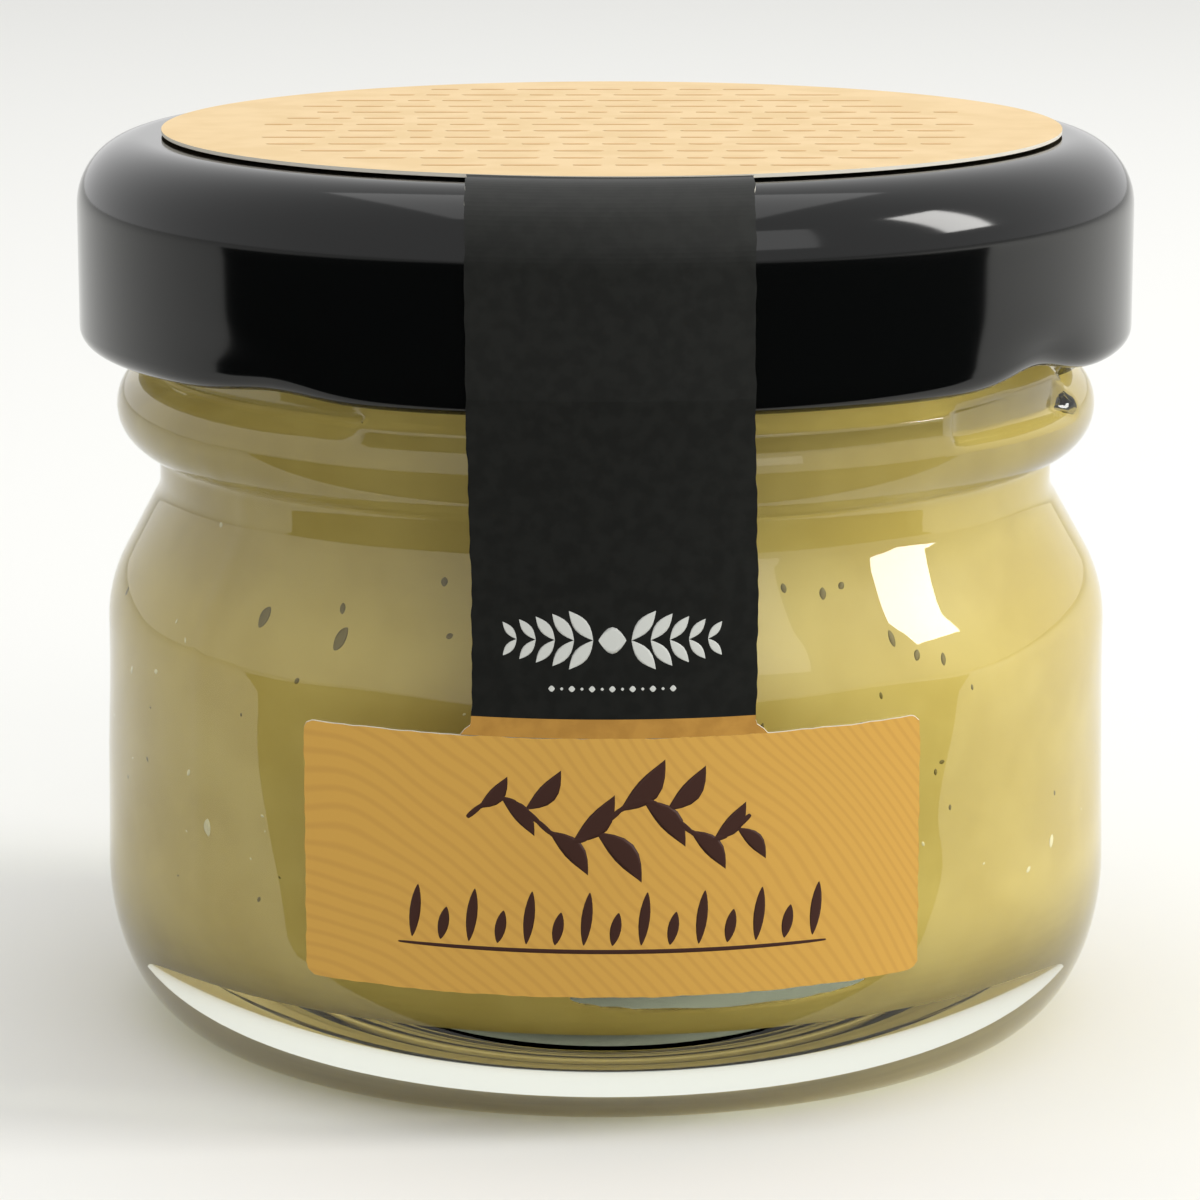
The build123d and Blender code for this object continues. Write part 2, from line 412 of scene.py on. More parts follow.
def new_tree(owner):
    """The emptied node tree of a material or a world."""
    owner.use_nodes = True
    owner.node_tree.nodes.clear()
    return owner.node_tree


PASTE_PATCH = 5.0  # millimetres, the size of the paste's faint patches
COLOUR_A, COLOUR_B, COLOUR_OUT = 6, 7, 2  # a Mix node's colour sockets


def mottled(tree, first, second, size_mm):
    """A colour socket that wanders between two colours over patches of about size_mm."""
    place = add_node(tree, "ShaderNodeTexCoord")
    noise = add_node(
        tree,
        "ShaderNodeTexNoise",
        {"Scale": 1 / (size_mm * MM), "Detail": 3.0},
        {"Vector": place.outputs["Object"]},
    )
    spread = add_node(
        tree,
        "ShaderNodeMapRange",
        {"From Min": 0.4, "From Max": 0.6},
        {"Value": noise.outputs["Fac"]},
    )
    mix = add_node(
        tree,
        "ShaderNodeMix",
        {COLOUR_A: rgba(first), COLOUR_B: rgba(second)},
        {"Factor": spread.outputs["Result"]},
        data_type="RGBA",
    )
    return mix.outputs[COLOUR_OUT]


def pressed_flint_glass(colour):
    """Soda-lime glass, pressed in a mould and fire polished: smooth, clear, faintly green where thick.

    Rays from lamps pass straight through, so that the light reaches what stands behind the glass.
    """
    material = bpy.data.materials.new("pressed_flint_glass")
    tree = new_tree(material)
    values = {"Base Color": rgba(colour), "Roughness": 0.0, "IOR": REFRACTION, "Transmission Weight": 1.0}
    glass = add_node(tree, "ShaderNodeBsdfPrincipled", values)
    through = add_node(tree, "ShaderNodeBsdfTransparent", {"Color": rgba(colour)})
    path = add_node(tree, "ShaderNodeLightPath")
    mix = add_node(
        tree,
        "ShaderNodeMixShader",
        links={0: path.outputs["Is Shadow Ray"], 1: glass.outputs[0], 2: through.outputs[0]},
    )
    add_node(tree, "ShaderNodeOutputMaterial", links={"Surface": mix.outputs[0]})
    return material


def opaque(name, values, colour=None):
    """An opaque material from socket values; colour makes the base colour's socket where it varies."""
    material = bpy.data.materials.new(name)
    tree = new_tree(material)
    links = {"Base Color": colour(tree)} if colour else None
    shader = add_node(tree, "ShaderNodeBsdfPrincipled", values, links)
    add_node(tree, "ShaderNodeOutputMaterial", links={"Surface": shader.outputs[0]})
    return material


def plain_finish(name, colour, roughness, specular=0.5):
    """An opaque finish of one colour."""
    return opaque(
        name, {"Base Color": rgba(colour), "Roughness": roughness, "Specular IOR Level": specular}
    )


def mustard_paste(first, second):
    """Ground mustard seed in vinegar, filled wet: an even, faintly mottled, half matt paste."""
    values = {"Roughness": 0.5, "IOR": 1.4}
    return opaque("ground_mustard_paste", values, lambda tree: mottled(tree, first, second, PASTE_PATCH))


def black_lacquered_tinplate(colour):
    """Tinplate, roller coated and stoved before it was pressed: deep black with a wet gloss."""
    return plain_finish("black_lacquered_tinplate", colour, 0.09, specular=0.36)


def printed_paper(name, first, second, size_mm, roughness=0.6):
    """Coated label paper under flat offset ink: satin, with a slight unevenness in the ink."""
    values = {"Roughness": roughness, "Specular IOR Level": 0.22}
    return opaque(name, values, lambda tree: mottled(tree, first, second, size_mm))


WAVE_TEXTURE_PERIOD = 0.32  # the distance between bands of the wave texture at a scale of 1
HAIRLINE_STEP = 0.36  # millimetres from one printed hairline to the next


def hairlines(tree, ground, line):
    """A colour socket with wavy hairlines on a ground, drawn a little coarser than a press lays them."""
    place = add_node(tree, "ShaderNodeTexCoord")
    wave = add_node(
        tree,
        "ShaderNodeTexWave",
        {
            "Scale": WAVE_TEXTURE_PERIOD / (HAIRLINE_STEP * MM),
            "Distortion": 22.0,
            "Detail": 1.0,
            "Detail Scale": 0.12,
        },
        {"Vector": place.outputs["Object"]},
        bands_direction="DIAGONAL",
    )
    spread = add_node(
        tree,
        "ShaderNodeMapRange",
        {"From Min": 0.5, "From Max": 1.0, "To Max": 0.45},
        {"Value": wave.outputs["Fac"]},
    )
    mix = add_node(
        tree,
        "ShaderNodeMix",
        {COLOUR_A: rgba(ground), COLOUR_B: rgba(line)},
        {"Factor": spread.outputs["Result"]},
        data_type="RGBA",
    )
    return mix.outputs[COLOUR_OUT]


def hairline_paper(ground, line):
    """Label paper, offset printed with a tone-on-tone ground of fine lines: satin and lively close up."""
    values = {"Roughness": 0.6, "Specular IOR Level": 0.35}
    return opaque("offset_printed_ochre_paper", values, lambda tree: hairlines(tree, ground, line))


# ---- Glass ----
def inside_outline(gap, top):
    """Half the outline of the jar's inside, drawn in by gap: up from the middle of the floor to top."""
    corners = [
        (0, FLOOR_HEIGHT + gap),
        (BODY_INSIDE - gap, FLOOR_HEIGHT + gap),
        (BODY_INSIDE - gap, SHOULDER_INSIDE),
        (NECK_INSIDE - gap, GROOVE_INSIDE),
        (NECK_INSIDE - gap, top),
    ]
    return rounded(corners, [FLOOR_BEND, INSIDE_BEND, INSIDE_BEND])


def glass_outline():
    """The whole section of the glass: under the base, up the outside, over the rim and down the inside."""
    hollow = np.linspace(0, BEARING_INNER, 12)
    base = np.stack([hollow, PUSH_UP * (1 - (hollow / BEARING_INNER) ** 2)], 1)
    heel = arc((BEARING_OUTER, HEEL_HEIGHT), (HEEL_WIDTH, HEEL_HEIGHT), -90, 0, 36)
    body = rounded(
        [
            (HEEL_RADIUS, HEEL_HEIGHT),
            (BODY_TOP_RADIUS, SHOULDER_HEIGHT),
            (GROOVE_RADIUS, GROOVE_BOTTOM),
            (GROOVE_RADIUS, BEAD_BOTTOM),
        ],
        [SHOULDER_BEND, GROOVE_BEND],
    )
    bead = arc((GROOVE_RADIUS, BEAD_HEIGHT), (BEAD_RADIUS - GROOVE_RADIUS, BEAD_HALF), -90, 90, 28)
    finish = rounded(
        [
            (FINISH_RADIUS, BEAD_TOP),
            (FINISH_RADIUS, RIM_HEIGHT),
            (NECK_INSIDE, RIM_HEIGHT),
            (NECK_INSIDE, GROOVE_INSIDE + 2 * INSIDE_BEND),
        ],
        [RIM_BEND, RIM_BEND],
        6,
    )
    outside = spaced(np.vstack([heel, body]), 0.6)
    neck = spaced(np.vstack([bead, finish[:1]]), 0.25)
    threads = spaced(finish, 0.35)
    inside = spaced(inside_outline(0.0, GROOVE_INSIDE + 2 * INSIDE_BEND)[::-1], 0.8)
    return without_repeats(np.vstack([base, outside, neck, threads, inside]))


def glass_details(turn, radius, height):
    """Adds ridges, pockets, threads, a mould seam and the pressing's slight waves to the outside wall."""
    outside = (radius > NECK_INSIDE + WALL_SPLIT) & (height > PUSH_UP + 0.2)
    outside &= ~((radius < BODY_INSIDE + 0.1) & (height < GROOVE_INSIDE))
    new = radius.copy()
    ridge_line = np.interp(
        height,
        [
            RIDGE_BOTTOM - RIDGE_FOOT,
            RIDGE_BOTTOM,
            RIDGE_BOTTOM + RIDGE_FLAT,
            CAP_BOTTOM - 0.1,
            CAP_BOTTOM,
        ],
        [GROOVE_RADIUS, RIDGE_RADIUS, RIDGE_RADIUS, FINISH_RADIUS, GROOVE_RADIUS],
    )
    pocket_rise = POCKET_RISE * ramp(around(turn, POCKET_START), 0, POCKET_ARC)
    for half_turn in (0, 180):
        start = POCKET_START + half_turn
        ridge = window(turn, start - RIDGE_ARC, start + POCKET_ARC, RIDGE_SOFT)
        new = new + ridge * np.maximum(0, ridge_line - new)
        pocket = window(turn, start + 0.7, start + POCKET_ARC, POCKET_SOFT)
        low = ramp(height, POCKET_BOTTOM - 0.2, POCKET_BOTTOM + 0.1)
        high = POCKET_BOTTOM + POCKET_HEIGHT - POCKET_EDGE + pocket_rise
        pocket = pocket * low * (1 - ramp(height, high, high + POCKET_EDGE))
        new = new - pocket * np.maximum(0, new - POCKET_RADIUS)
    for number in range(LUG_COUNT):
        start = FIRST_LUG - LUG_ARC / 2 + number * 360 / LUG_COUNT
        thread = window(turn, start, start + THREAD_ARC, THREAD_SOFT)
        top = THREAD_BOTTOM + THREAD_HEIGHT
        band = ramp(height, THREAD_BOTTOM, THREAD_BOTTOM + THREAD_EDGE)
        band = band * (1 - ramp(height, top - THREAD_EDGE, top))
        new = new + thread * band * np.maximum(0, RIDGE_RADIUS - new)
    angle = np.radians(turn)
    between = ramp(height, HEEL_HEIGHT - 1, HEEL_HEIGHT + 5) * (1 - ramp(height, BEAD_BOTTOM, BEAD_TOP))
    seam = SEAM_REACH * np.exp(-((around(2 * turn, 2 * SEAM_TURN) / SEAM_WIDTH) ** 2))
    wave = sum(reach * np.sin(times * angle + rate * height) for reach, times, rate in WAVES)
    new = new + (seam + wave - WAVE_DROP) * between
    return np.where(outside, new, radius), height


def build_glass(colours):
    """The glass jar, one closed shell."""
    points, faces = revolved(glass_outline(), GLASS_SIDES, glass_details)
    material = pressed_flint_glass(tuple(colours.glass))
    return add_piece("glass_body", points, faces, [material], node="glass_jar", slot="clear_glass")


# ---- Filling ----
DIMPLE_TURN = 15.0
DIMPLE_HEIGHT = 5.35
DIMPLE_HALF_ARC = 21.0
DIMPLE_HALF_HEIGHT = 0.62
DIMPLE_DEPTH = 0.45


def filling_details(turn, radius, height):
    """Presses one flat air pocket, an ellipse of angle and height, into the filling's lower front."""
    off = (around(turn, DIMPLE_TURN) / DIMPLE_HALF_ARC) ** 2
    off = off + ((height - DIMPLE_HEIGHT) / DIMPLE_HALF_HEIGHT) ** 2
    dent = DIMPLE_DEPTH * (1 - ramp(off, 0.55, 1.0))
    near_wall = ramp(radius, BODY_INSIDE - 3, BODY_INSIDE - 2)
    return radius - dent * near_wall, height


def build_filling(colours):
    """The mustard: the inside of the jar, reaching a little into the wall, up to its flat surface."""
    side = spaced(inside_outline(-FILL_OVERLAP, FILL_TOP), 0.25)
    top = np.array([[NECK_INSIDE + FILL_OVERLAP - 1.0, FILL_TOP], [0.0, FILL_TOP]])
    points, faces = revolved(without_repeats(np.vstack([side, top])), FILL_SIDES, filling_details)
    material = mustard_paste(tuple(colours.mustard), tuple(colours.mustard_shade))
    return add_piece("mustard_fill", points, faces, [material], node="mustard", slot="mustard_paste")


def behind_wall(across, height):
    """Where on the inner wall a spot lies that is seen at across and height on the outside of the body.

    A ray keeps its distance from the axis divided by the refraction as it enters the wall, so it has
    turned by the difference of two arc sines when it reaches the inner wall, and sunk by the wall's
    thickness times its slope.
    """
    across, height = np.asarray(across, float), np.asarray(height, float)
    inside = across / REFRACTION
    turn = np.arcsin(across / HEEL_RADIUS)
    turn = turn + np.arcsin(inside / BODY_INSIDE) - np.arcsin(inside / HEEL_RADIUS)
    sink = SIGHT_SLOPE * (HEEL_RADIUS - BODY_INSIDE)
    return np.stack([BODY_INSIDE * turn, height - sink], -1)


def on_inner_wall(along, height, lift):
    """A point on the filling's side, along it from the front, lifted outward."""
    turn = along / BODY_INSIDE
    inside = spaced(inside_outline(-FILL_OVERLAP, FILL_TOP), 0.5)
    wall = inside[inside[:, 0] > NECK_INSIDE - 0.5]
    radius = np.interp(height, wall[:, 1], wall[:, 0]) + lift
    return np.stack([radius * np.sin(turn), -radius * np.cos(turn), height + 0 * turn], -1)


# Each bubble and glint that shows plainly on the front: across and height as seen on the outside of the
# body, length and half width in millimetres, and lean in degrees. Bubbles are drawn dark, as painted shade,
# and glints pale, as painted highlights.
BUBBLES = [
    (-14.6, 19.6, 0.75, 0.26, 70),
    (-11.1, 19.4, 0.8, 0.24, 60),
    (-11.4, 20.4, 0.45, 0.13, 110),
    (-7.2, 21.9, 0.4, 0.15, 90),
    (-6.6, 19.9, 0.3, 0.1, 20),
    (7.9, 21.6, 0.4, 0.13, 100),
    (9.6, 21.2, 0.5, 0.16, 80),
    (10.5, 21.4, 0.35, 0.14, 40),
    (12.0, 19.3, 0.5, 0.14, 100),
    (12.9, 18.7, 0.35, 0.15, 60),
    (14.0, 18.4, 0.4, 0.13, 90),
]
# Painted highlights: pale spots that stand in for glints on the paste.
PAINTED_GLINTS = [
    (-18.0, 22.9, 0.6, 0.14, 80),
    (-20.2, 16.4, 0.4, 0.1, 60),
    (-19.0, 16.9, 0.3, 0.1, 20),
    (-16.7, 11.0, 0.8, 0.22, 95),
    (-17.4, 13.1, 0.4, 0.11, 40),
    (18.9, 9.5, 0.6, 0.18, 80),
    (17.8, 8.7, 0.35, 0.12, 30),
]
SCATTER_SEED = 7


def laid_on_wall(spots, height):
    """Strokes on the inner wall at each (across, height, length, half width, lean) as seen from outside."""
    spots = np.array(spots)
    middle = behind_wall(spots[:, 0], spots[:, 1])
    lean = np.radians(spots[:, 4])
    half = np.stack([np.cos(lean), np.sin(lean)], -1) * spots[:, 2:3] / 2
    return strokes(middle - half, middle + half, spots[:, 3], height, on_inner_wall, 0.6)


def scattered(count, smallest, largest, seed):
    """Small spots spread all round the filling's wall, each with its own size and lean."""
    draw = np.random.default_rng(seed)
    along = draw.uniform(-np.pi, np.pi, count) * BODY_INSIDE
    height = draw.uniform(FLOOR_HEIGHT + FLOOR_BEND, SHOULDER_INSIDE, count)
    lean = draw.uniform(0, np.pi, count)
    length = draw.uniform(smallest, largest, count)
    half = np.stack([np.cos(lean), np.sin(lean)], -1) * length[:, None] / 2
    middle = np.stack([along, height], -1)
    return strokes(middle - half, middle + half, 0.3 * length, 0.03, on_inner_wall, 0.6, steps=7, sides=6)


def build_bubbles(sizes, colours):
    """Air bubbles against the wall, drawn as small strokes in a flat dark colour: painted shade inside each
    bubble.
    """
    points, faces = joined(
        laid_on_wall(BUBBLES, 0.04), scattered(sizes.bubble_count, 0.12, 0.3, SCATTER_SEED)
    )
    shade = plain_finish("shaded_bubble_in_paste", tuple(colours.painted_bubble_shade), 0.5)
    return add_piece("air_bubbles", points, faces, [shade], slot="mustard_paste")


def build_painted_glints(sizes, colours):
    """Pale strokes against the wall: painted highlights that stand in for glints on the paste."""
    points, faces = joined(
        laid_on_wall(PAINTED_GLINTS, 0.04), scattered(sizes.painted_glint_count, 0.1, 0.25, SCATTER_SEED + 1)
    )
    glint_paint = plain_finish("seed_flesh_in_paste", tuple(colours.painted_glint), 0.55)
    return add_piece("seed_specks", points, faces, [glint_paint], slot="mustard_paste")


# ---- Cap ----
def cap_outline():
    """The section of the cap's sheet: panel, ring, shoulder, skirt, curl, and back along the inside."""
    outside = rounded(
        [
            (0, PANEL_TOP),
            (PANEL_RADIUS, PANEL_TOP),
            (RING_INNER, CAP_TOP),
            (CAP_RADIUS, CAP_TOP),
            (CAP_RADIUS, CAP_BOTTOM + CURL_RADIUS),
        ],
        [*PANEL_BENDS, CAP_BEND],
        18,
    )
    curl_middle = (CAP_RADIUS - CURL_RADIUS, CAP_BOTTOM + CURL_RADIUS)
    curl = arc(curl_middle, (CURL_RADIUS, CURL_RADIUS), 0, -270, 30)
    inside = rounded(
        [
            (CAP_RADIUS - CAP_SHEET, CAP_BOTTOM + 2 * CURL_RADIUS),
            (CAP_RADIUS - CAP_SHEET, CAP_TOP - CAP_SHEET),
            (RING_INNER, CAP_TOP - CAP_SHEET),
            (PANEL_RADIUS, PANEL_TOP - CAP_SHEET),
            (0, PANEL_TOP - CAP_SHEET),
        ],
        [CAP_BEND - CAP_SHEET, *reversed(PANEL_BENDS)],
        8,
    )
    return without_repeats(np.vstack([spaced(outside, 0.4), curl, spaced(inside, 1.0)]))


# Angle, how far the edge is pressed up, and how far the skirt is pressed in, at each lug.
LUG_PRESS = [
    (FIRST_LUG, 0.6, 0.3),
    (FIRST_LUG + 90, 0.35, 0.2),
    (FIRST_LUG - 90, 0.3, 0.22),
    (FIRST_LUG - 180, 0.35, 0.2),
]


def cap_details(turn, radius, height):
    """Presses the skirt in and its edge up at each lug, and draws the lug inward from the curl."""
    low = 1 - ramp(height, CAP_BOTTOM + 0.4, CAP_BOTTOM + 3.2)
    edge = 1 - ramp(height, CAP_BOTTOM + 0.5, CAP_BOTTOM + 2.2)
    curl_inside = ramp(CAP_RADIUS - CURL_RADIUS - radius, 0.1, CURL_RADIUS)
    curl_inside = curl_inside * (1 - ramp(height, CAP_BOTTOM + 1.2, CAP_BOTTOM + 1.6))
    for middle, lift, press in LUG_PRESS:
        bump = np.exp(-((around(turn, middle) / PRESS_WIDTH) ** 2))
        radius = radius - press * bump * low * ramp(radius, CAP_RADIUS - 2, CAP_RADIUS - 1)
        height = height + lift * bump * edge * ramp(radius, CAP_RADIUS - 3, CAP_RADIUS - 2)
        half_arc = LUG_ARC / 2 - LUG_SOFT
        lug = window(turn, middle - half_arc, middle + half_arc, LUG_SOFT)
        radius = radius - LUG_REACH * lug * curl_inside
    return radius, height


def build_cap(colours):
    """The twist cap, one closed shell with its curl and lugs."""
    points, faces = revolved(cap_outline(), CAP_SIDES, cap_details)
    material = black_lacquered_tinplate(tuple(colours.cap))
    return add_piece("twist_cap", points, faces, [material], node="cap", slot="black_enamel")


# ---- Label ----
def front_line(height):
    """The radius at which the underside of the label lies at a height on the front.

    It follows the cap's skirt, runs straight across the neck to a crease on the body, and then keeps
    to the body.
    """
    crease = SHOULDER_HEIGHT - CREASE_DROP
    skirt = CAP_RADIUS + GLUE
    body = HEEL_RADIUS - BODY_DRAW * (crease - HEEL_HEIGHT) / BODY_HEIGHT + GLUE
    return np.interp(
        height,
        [0, HEEL_HEIGHT, crease, CAP_BOTTOM + CURL_RADIUS, CAP_TOP],
        [HEEL_RADIUS + GLUE, HEEL_RADIUS + GLUE, body, skirt, skirt],
    )


def on_front(across, height, lift):
    """A point of the label's front: straight ahead of across, at front_line plus lift from the axis."""
    radius = front_line(height) + lift
    return np.stack([across, -np.sqrt(radius**2 - across**2), height + 0 * across], -1)


def strip_path():
    """The strip's middle line as (radius, height, outward radius, outward height), from the disc down."""
    bend = CAP_BEND + GLUE
    over = rounded(
        [
            (RING_INNER + 0.35, PANEL_TOP + GLUE / 2),
            (RING_OUTER - 0.3, CAP_TOP + 2 * GLUE),
            (CAP_RADIUS + GLUE, CAP_TOP + GLUE),
            (CAP_RADIUS + GLUE, CAP_BOTTOM + CURL_RADIUS + 0.5),
        ],
        [0.0, bend],
        24,
    )
    low = np.linspace(CAP_BOTTOM + CURL_RADIUS, PANEL_LOW + FRONT_HEIGHT, 70)
    down = np.stack([front_line(low), low], 1)
    path = without_repeats(spaced(np.vstack([over, down]), 0.3))
    tangent = np.gradient(path, axis=0)
    tangent /= np.linalg.norm(tangent, axis=1, keepdims=True)
    return path, np.stack([-tangent[:, 1], tangent[:, 0]], 1)


# The strip's orange part under its black print is the panel's paper in a darker colour: painted shade where
# the strip leans away above the crease.
CREAM, BLACK, OCHRE, PAINTED_SHADE_BAND, CORE = range(5)  # the kinds of paper, in the order of their materials
STRIP_HEIGHTS = [BAND_TOP, 22.4, CAP_BOTTOM, CAP_TOP]
STRIP_SHIFTS = [0.34, 0.38, 0.2, 0.17]  # how far right the strip's middle lies at those heights
STRIP_COLUMNS = 25
PANEL_COLUMNS = 61
FRAY_RATES = (37, 61, 103, 171)
FRAY_REACH = 0.012
FLARE = 0.45  # how far each side of the strip widens as it meets the panel
FLARE_HEIGHT = 0.5


def fray(share, seed):
    """A cut edge's small unevenness: a few sines of seeded phase, in millimetres."""
    phase = np.random.default_rng(seed).uniform(0, 2 * np.pi, 4)
    waves = [np.sin(rate * share + start) for rate, start in zip(FRAY_RATES, phase)]
    return FRAY_REACH * sum(waves)


def strip_sheet(sizes):
    """The strip: rows across the middle line, each bent round the cap or the body at its radius.

    Returns its points, its faces and each face's kind of paper.
    """
    path, outward = strip_path()
    rows, columns = len(path), STRIP_COLUMNS
    share = np.linspace(0, 1, rows)
    height = path[:, 1]
    middle = np.interp(height, STRIP_HEIGHTS, STRIP_SHIFTS)
    half = np.full(rows, sizes.strip_width / MM / 2)
    low = PANEL_LOW + FRONT_HEIGHT
    half = half + FLARE * (1 - ramp(height, low, low + FLARE_HEIGHT))
    left = middle - half + fray(share, 3)
    right = middle + half + fray(share, 4)
    across = left[:, None] + (right - left)[:, None] * np.linspace(0, 1, columns)[None]
    row = np.repeat(np.arange(rows)[:, None], columns, 1)

    def place(across, row, lift):
        radius = path[row, 0] + outward[row, 0] * lift
        high = path[row, 1] + outward[row, 1] * lift
        return np.stack([across, -np.sqrt(radius**2 - across**2), high], -1)

    points, faces, tops, edges = sheet(place, across, row, sizes.paper / MM)
    row_of_face = np.arange(tops) // (columns - 1)
    # Below the black print the strip takes the darker orange paper, as painted shade.
    kinds = np.where(height[row_of_face] > BAND_TOP, BLACK, PAINTED_SHADE_BAND)
    return points, faces, np.concatenate([kinds, kinds, np.full(edges, CORE)])


def panel_sheet(sizes):
    """The front panel: rows at each height, shorter by an arc near its top and bottom edge.

    Returns its points, its faces and each face's kind of paper.
    """
    top = PANEL_LOW + FRONT_HEIGHT
    edge = 1 - np.cos(np.linspace(0, np.pi / 2, 7))
    height = np.concatenate(
        [
            PANEL_LOW + FRONT_CORNER * edge,
            np.linspace(PANEL_LOW + 0.8, top - 0.8, 36),
            top - FRONT_CORNER * edge[::-1],
        ]
    )
    off = np.clip(np.minimum(height - PANEL_LOW, top - height), 0, FRONT_CORNER)
    inset = FRONT_CORNER - np.sqrt(FRONT_CORNER**2 - (FRONT_CORNER - off) ** 2)
    half = sizes.panel_width / MM / 2 - inset
    share = np.linspace(0, 1, len(height))
    left = LABEL_SHIFT - half + fray(share, 5)
    right = LABEL_SHIFT + half + fray(share, 6)
    across = left[:, None] + (right - left)[:, None] * np.linspace(0, 1, PANEL_COLUMNS)[None]
    tilt = np.tan(np.radians(FRONT_TILT)) * (across - LABEL_SHIFT)
    edge_fray = fray(across / 25, 8) * 0.8
    along = height[:, None] + tilt + edge_fray
    points, faces, tops, edges = sheet(on_front, across, along, sizes.paper / MM)
    return points, faces, np.concatenate([np.full(2 * tops, OCHRE), np.full(edges, CORE)])


def disc_sheet(sizes):
    """The disc on the cap, a thin rectangle carried round: its points, faces and kinds of paper."""
    under = LABEL_TOP - sizes.paper / MM
    radii = np.array([0.0, 0.5, 1.0]) * DISC_RADIUS
    low = np.stack([radii, np.full(3, under)], 1)
    high = np.stack([radii[::-1], np.full(3, LABEL_TOP)], 1)
    points, faces = revolved(np.vstack([low, high]), DISC_SIDES, shift=LABEL_SHIFT)
    kinds = np.full(len(faces), CREAM)
    kinds[DISC_SIDES : 2 * DISC_SIDES] = CORE
    return points, faces, kinds


def build_label(sizes, colours):
    """The seal label as one piece: disc on the cap, strip down the front and panel on the body."""
    parts = [strip_sheet(sizes), panel_sheet(sizes), disc_sheet(sizes)]
    points, faces = joined(*(part[:2] for part in parts))
    kinds = np.concatenate([part[2] for part in parts])
    papers = [
        # Painted sheen and top light: the disc is the panel's orange paper, given a lighter cream colour
        # for the sheen and top light on it.
        printed_paper("offset_printed_cream_paper", tuple(colours.disc), linear("#dcbf8e"), 3.0),
        printed_paper("offset_printed_black_paper", tuple(colours.strip), linear("#1b1c19"), 0.6, 0.5),
        hairline_paper(tuple(colours.panel), tuple(colours.panel_line)),
        # Painted shade: the panel's orange paper, darker, for the strip above the crease.
        printed_paper("offset_printed_amber_paper", linear("#b5863a"), linear("#a97b33"), 1.0),
        plain_finish("cut_paper_core", linear("#e9e4d6"), 0.8, specular=0.2),
    ]
    return add_piece(
        "paper_label",
        points,
        faces,
        papers,
        slot="label_paper",
        node="seal_label",
        face_materials=kinds,
        smooth=False,
    )


# ---- Print on the label ----
def on_disc(across, ahead, lift):
    """A point of the disc's printed side."""
    return np.stack([across + LABEL_SHIFT, ahead + 0 * across, LABEL_TOP + PRINT_LIFT + lift], -1)


def vine(place, middle, half_length, sway, leaf, count, width):
    """A waving stem with leaves: the stem's height is a sine along it, and leaves sit by turns."""

    def stem_at(share):
        return np.stack([middle[0] + half_length * share, middle[1] + sway * np.sin(2 * np.pi * share)], 1)

    stem = stem_at(np.linspace(-1, 1, 25))
    ends = stem[1:] + (stem[1:] - stem[:-1]) * 0.25
    lines = strokes(stem[:-1], ends, width, INK_HEIGHT, place, power=0.2)
    at = np.linspace(-0.92, 0.92, count)
    root = stem_at(at)
    side = np.where(np.arange(count) % 2 == 0, 1.0, -1.0)
    reach = leaf * (1.1 - 0.45 * np.abs(at))
    tip = root + np.stack([0.75 * reach, side * reach * 0.85], 1)
    leaves = strokes(root, tip, 0.2 * reach, INK_HEIGHT, place, power=1.0, bow=-0.12 * side * reach)
    return joined(lines, leaves)


def seed_row(place, middle, step, count, radius):
    """A row of round seeds with smaller ones between them."""
    large = middle[0] + step * (np.arange(count) - (count - 1) / 2)
    small = (large[1:] + large[:-1]) / 2
    parts = []
    for across, size in ((large, radius), (small, radius * 0.5)):
        left = np.stack([across - size, np.full(len(across), middle[1])], 1)
        parts.append(strokes(left, left + [2 * size, 0], size, INK_HEIGHT, place, power=0.9))
    return joined(*parts)


def seed_pods(place, middle, step, count, height, width):
    """A row of upright pods, tall and short by turns, on a fine ground line."""
    across = middle[0] + step * (np.arange(count) - (count - 1) / 2)
    tall = height * np.where(np.arange(count) % 2 == 0, 1.0, 0.62)
    low = np.stack([across, np.full(count, middle[1])], 1)
    high = low + np.stack([np.full(count, 0.12 * height), tall], 1)
    pods = strokes(low, high, width, INK_HEIGHT, place, power=0.7)
    half = step * count / 2
    left, right = (middle[0] - half, middle[1] - 0.25), (middle[0] + half, middle[1] - 0.25)
    ground = strokes([left], [right], 0.09, INK_HEIGHT, place, power=0.2, steps=41)
    return joined(pods, ground)


def wreath(place, middle, half_length, count, leaf, seed):
    """Two rows of leaves that open to both sides of a round seed, smaller towards the ends."""
    parts = []
    at = (np.arange(count) + 1) / count
    for side in (-1, 1):
        for lean in (-1, 1):
            root = np.stack([middle[0] + side * half_length * at * 0.82, 0 * at + middle[1]], 1)
            reach = leaf * (1.15 - 0.55 * at)
            tip = root + np.stack([side * 0.8 * reach, lean * reach], 1)
            parts.append(strokes(root, tip, 0.24 * reach, INK_HEIGHT, place, power=1.0))
    left, right = (middle[0] - seed, middle[1]), (middle[0] + seed, middle[1])
    parts.append(strokes([left], [right], seed, INK_HEIGHT, place, power=0.9))
    return joined(*parts)


def small_print(rows, seed):
    """Rows of short dashes of seeded length that fill the disc, as far off small print reads."""
    draw = np.random.default_rng(seed)
    starts, ends = [], []
    for ahead in np.linspace(-0.8, 0.8, rows) * DISC_RADIUS:
        half = 0.88 * np.sqrt(DISC_RADIUS**2 - ahead**2)
        cuts = np.cumsum(draw.uniform(1.2, 3.4, 40))
        cuts = cuts[cuts < 2 * half]
        starts.extend((-half + cut, ahead) for cut in cuts[:-1])
        ends.extend((-half + cut - 0.5, ahead) for cut in cuts[1:])
    return strokes(starts, ends, 0.22, INK_HEIGHT, on_disc, 0.2, steps=7, sides=6)


